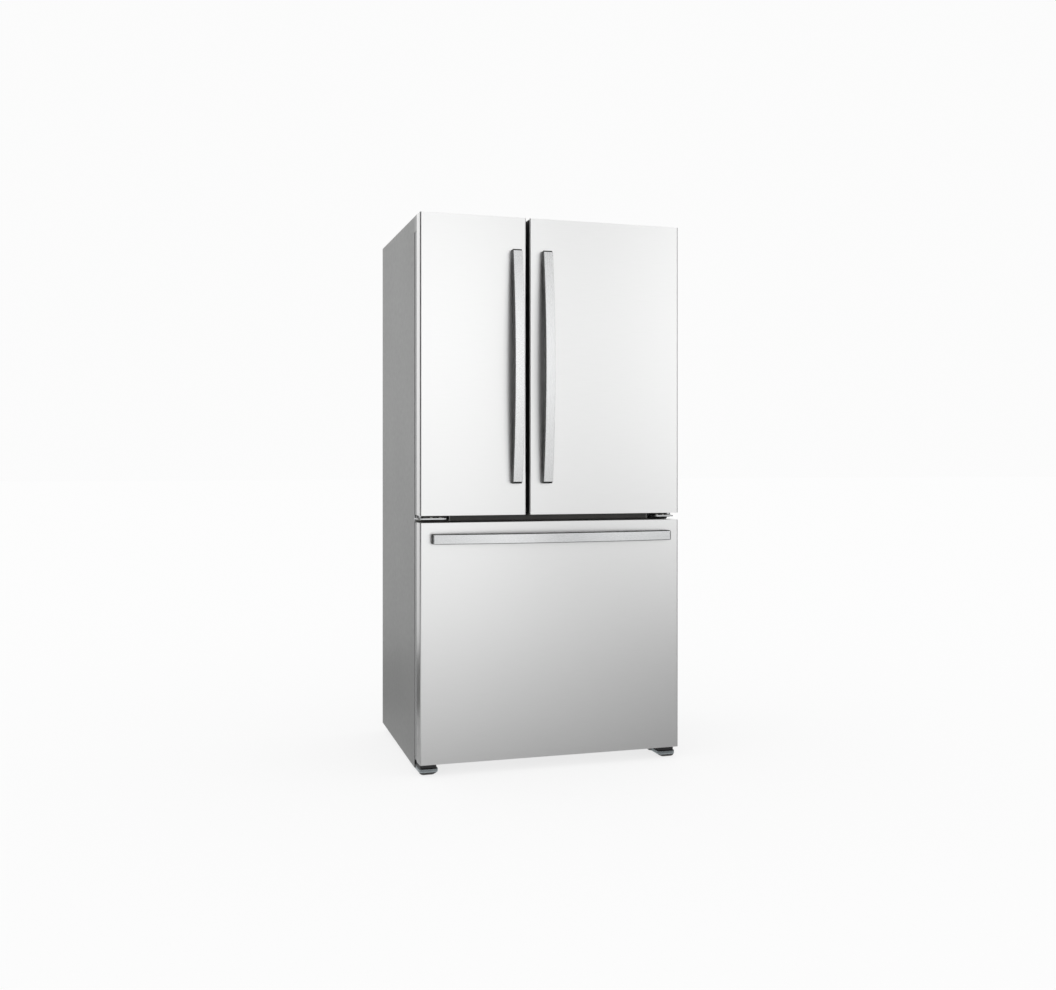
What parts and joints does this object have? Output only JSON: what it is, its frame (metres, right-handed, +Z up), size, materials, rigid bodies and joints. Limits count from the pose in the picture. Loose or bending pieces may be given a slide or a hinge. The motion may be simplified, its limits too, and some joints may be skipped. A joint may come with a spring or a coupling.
{
  "type": "french door refrigerator",
  "caption": "French door refrigerator: two bowed-handle upper doors over a full-width freezer drawer, with shelves, bins, crispers, slides, feet and rollers.",
  "frame": {"origin": "on the floor under the middle of the bounding box", "axes": "+Z up, doors face -Y, +X to the right seen from the front"},
  "size_m": [0.84, 0.711, 1.7],
  "materials": {
    "stainless_skin": "satin",
    "brushed_handle": "satin",
    "grey_paint": "satin",
    "galvanised": "satin",
    "hinge_steel": "satin",
    "insulation_foam": "matte",
    "liner_plastic": "satin",
    "fitting_plastic": "satin",
    "grey_plastic": "satin",
    "dark_plastic": "satin",
    "gasket_rubber": "matte",
    "shelf_glass": "gloss",
    "clear_plastic": "gloss",
    "compressor_shell": "satin"
  },
  "bodies": {
    "cabinet": {"outer_case": "grey_paint", "back_panel": "galvanised", "cabinet_foam": "insulation_foam", "fridge_liner": "liner_plastic", "freezer_liner": "liner_plastic", "mid_rail": "grey_paint", "mid_trim": "dark_plastic", "base_frame": "galvanised", "left_top_hinge": "hinge_steel", "right_top_hinge": "hinge_steel", "left_hinge_cover": "grey_plastic", "right_hinge_cover": "grey_plastic", "left_middle_hinge": "hinge_steel", "right_middle_hinge": "hinge_steel", "left_foot_cover": "dark_plastic", "right_foot_cover": "dark_plastic", "compressor": "compressor_shell", "machine_cover": "dark_plastic", "drip_tray": "dark_plastic", "air_duct": "fitting_plastic", "evaporator_cover": "fitting_plastic", "control_panel": "fitting_plastic", "upper_shelf": "shelf_glass", "lower_shelf": "shelf_glass", "crisper_cover": "shelf_glass", "left_drawer_rail": "galvanised", "right_drawer_rail": "galvanised"},
    "left_door": {"left_door_skin": "stainless_skin", "left_door_inner_panel": "liner_plastic", "left_door_gasket": "gasket_rubber", "left_door_top_cap": "grey_plastic", "left_door_bottom_cap": "grey_plastic", "left_door_handle": "brushed_handle", "left_upper_bin": "clear_plastic", "left_lower_bin": "clear_plastic"},
    "mullion_flap": {"mullion_flap": "grey_plastic"},
    "right_door": {"right_door_skin": "stainless_skin", "right_door_inner_panel": "liner_plastic", "right_door_gasket": "gasket_rubber", "right_door_top_cap": "grey_plastic", "right_door_bottom_cap": "grey_plastic", "right_door_handle": "brushed_handle", "dairy_bin": "clear_plastic", "right_lower_bin": "clear_plastic"},
    "dairy_lid": {"dairy_lid": "clear_plastic"},
    "freezer_drawer": {"drawer_skin": "stainless_skin", "drawer_inner_panel": "liner_plastic", "drawer_gasket": "gasket_rubber", "drawer_handle": "brushed_handle", "left_drawer_side": "galvanised", "right_drawer_side": "galvanised", "freezer_basket": "fitting_plastic"},
    "freezer_tray": {"freezer_tray": "fitting_plastic"},
    "left_crisper": {"left_crisper": "clear_plastic"},
    "right_crisper": {"right_crisper": "clear_plastic"},
    "left_levelling_foot": {"left_levelling_foot": "dark_plastic"},
    "right_levelling_foot": {"right_levelling_foot": "dark_plastic"},
    "left_rear_roller": {"left_rear_roller": "dark_plastic"},
    "right_rear_roller": {"right_rear_roller": "dark_plastic"},
    "evaporator_fan": {"evaporator_fan": "dark_plastic"}
  },
  "joints": [
    {"name": "left_door_hinge", "type": "hinge", "parent": "cabinet", "child": "left_door", "pos_m": [-0.41, -0.2435, 0.7845], "axis": [0, 0, -1], "range_deg": [0, 105]},
    {"name": "right_door_hinge", "type": "hinge", "parent": "cabinet", "child": "right_door", "pos_m": [0.41, -0.2435, 0.7845], "axis": [0, 0, 1], "range_deg": [0, 105]},
    {"name": "mullion_flap_fold", "type": "hinge", "parent": "left_door", "child": "mullion_flap", "pos_m": [-0.113, -0.205, 1.2], "axis": [0, 0, 1], "range_deg": [0, 90]},
    {"name": "freezer_drawer_slide", "type": "slide", "parent": "cabinet", "child": "freezer_drawer", "axis": [0, -1, 0], "range_m": [0, 0.38]},
    {"name": "freezer_tray_slide", "type": "slide", "parent": "freezer_drawer", "child": "freezer_tray", "axis": [0, 1, 0], "range_m": [0, 0.2]},
    {"name": "left_crisper_slide", "type": "slide", "parent": "cabinet", "child": "left_crisper", "axis": [0, -1, 0], "range_m": [0, 0.1]},
    {"name": "right_crisper_slide", "type": "slide", "parent": "cabinet", "child": "right_crisper", "axis": [0, -1, 0], "range_m": [0, 0.1]},
    {"name": "dairy_lid_hinge", "type": "hinge", "parent": "right_door", "child": "dairy_lid", "pos_m": [0.1615, -0.222, 1.4555], "axis": [1, 0, 0], "range_deg": [0, 80]},
    {"name": "left_foot_screw", "type": "hinge", "parent": "cabinet", "child": "left_levelling_foot", "pos_m": [-0.3875, -0.1805, 0], "axis": [0, 0, 1], "continuous": true},
    {"name": "right_foot_screw", "type": "hinge", "parent": "cabinet", "child": "right_levelling_foot", "pos_m": [0.3875, -0.1805, 0], "axis": [0, 0, 1], "continuous": true},
    {"name": "left_roller_axle", "type": "hinge", "parent": "cabinet", "child": "left_rear_roller", "pos_m": [-0.375, 0.2955, 0.018], "axis": [1, 0, 0], "continuous": true},
    {"name": "right_roller_axle", "type": "hinge", "parent": "cabinet", "child": "right_rear_roller", "pos_m": [0.375, 0.2955, 0.018], "axis": [1, 0, 0], "continuous": true},
    {"name": "evaporator_fan_spin", "type": "hinge", "parent": "cabinet", "child": "evaporator_fan", "pos_m": [0, 0.272, 0.61], "axis": [0, 1, 0], "continuous": true}
  ],
  "couplings": [
    {"joint": "mullion_flap_fold", "follows": "left_door_hinge", "ratio": 0.857}
  ]
}
